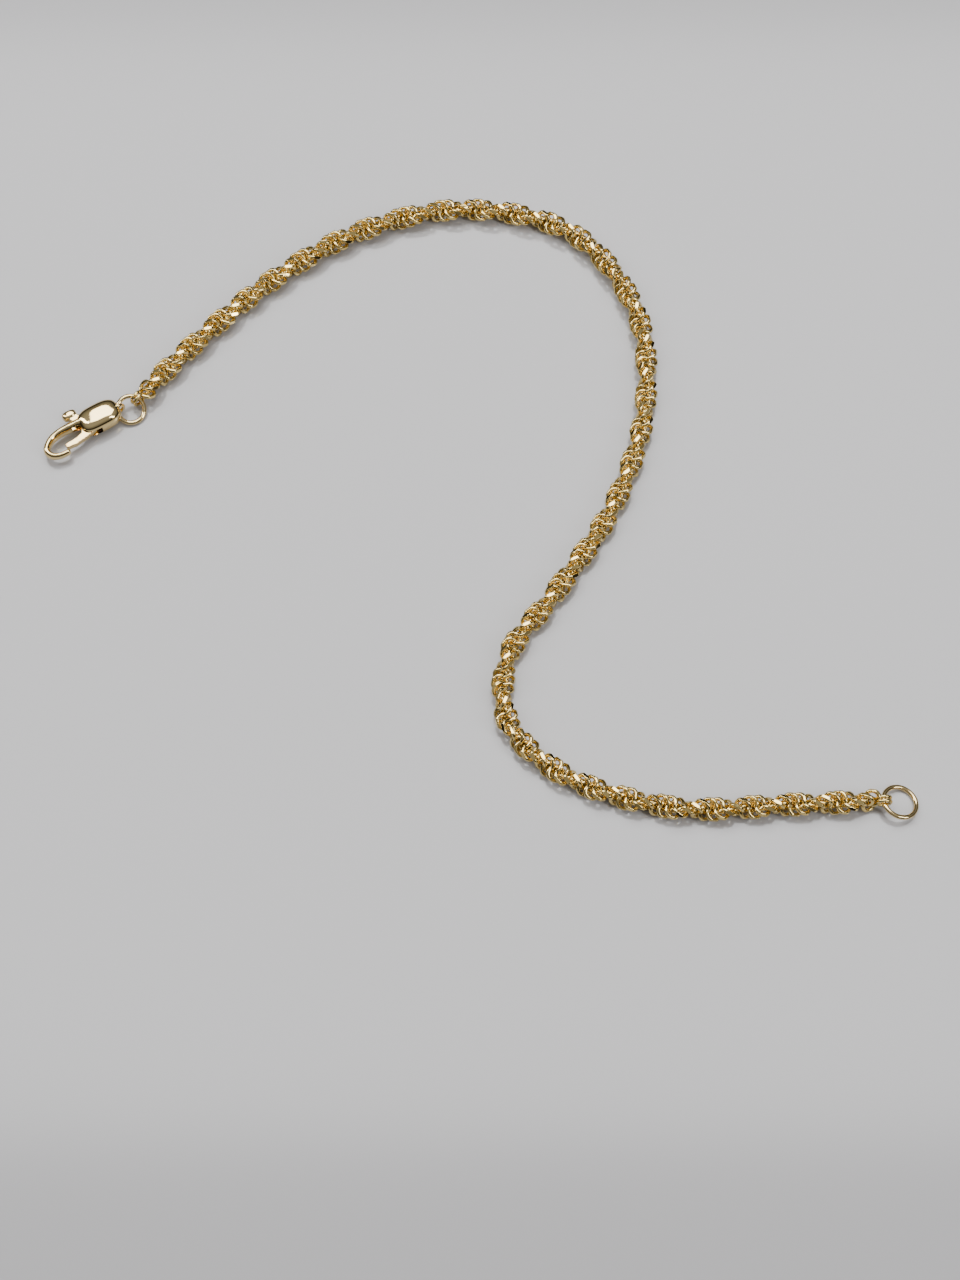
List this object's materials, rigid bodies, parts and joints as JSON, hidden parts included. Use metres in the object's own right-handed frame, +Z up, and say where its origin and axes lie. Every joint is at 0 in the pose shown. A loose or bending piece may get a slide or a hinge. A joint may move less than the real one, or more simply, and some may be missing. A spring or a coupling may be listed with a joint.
{
  "type": "rope chain bracelet",
  "caption": "Gold diamond-cut rope chain bracelet lying open in an S, with a sprung lobster clasp on a jump ring at one end and a plain closing ring at the other.",
  "frame": {"origin": "middle of the bracelet's outline, on the surface that it lies on", "axes": "+X along the longest side, from the clasp to the end ring; +Y away from the viewer; +Z up from the surface"},
  "size_m": [0.0912, 0.0727, 0.0025],
  "materials": {
    "rope_gold": "bright diamond-cut gold wire",
    "clasp_gold": "polished cast gold",
    "lever_gold": "polished gold",
    "ring_gold": "polished gold wire"
  },
  "bodies": {
    "bracelet": {"rope_chain": "rope_gold", "clasp_body": "clasp_gold", "lever_pin": "lever_gold", "clasp_ring": "ring_gold", "end_ring": "ring_gold"},
    "lever": {"clasp_lever": "lever_gold"}
  },
  "joints": [
    {"name": "lever_swing", "type": "hinge", "parent": "bracelet", "child": "lever", "pos_m": [-0.0406, 0.00801, 0.00115], "axis": [0, 0, -1], "range_deg": [0, 16], "stiffness_Nm_per_rad": 0.0005}
  ]
}
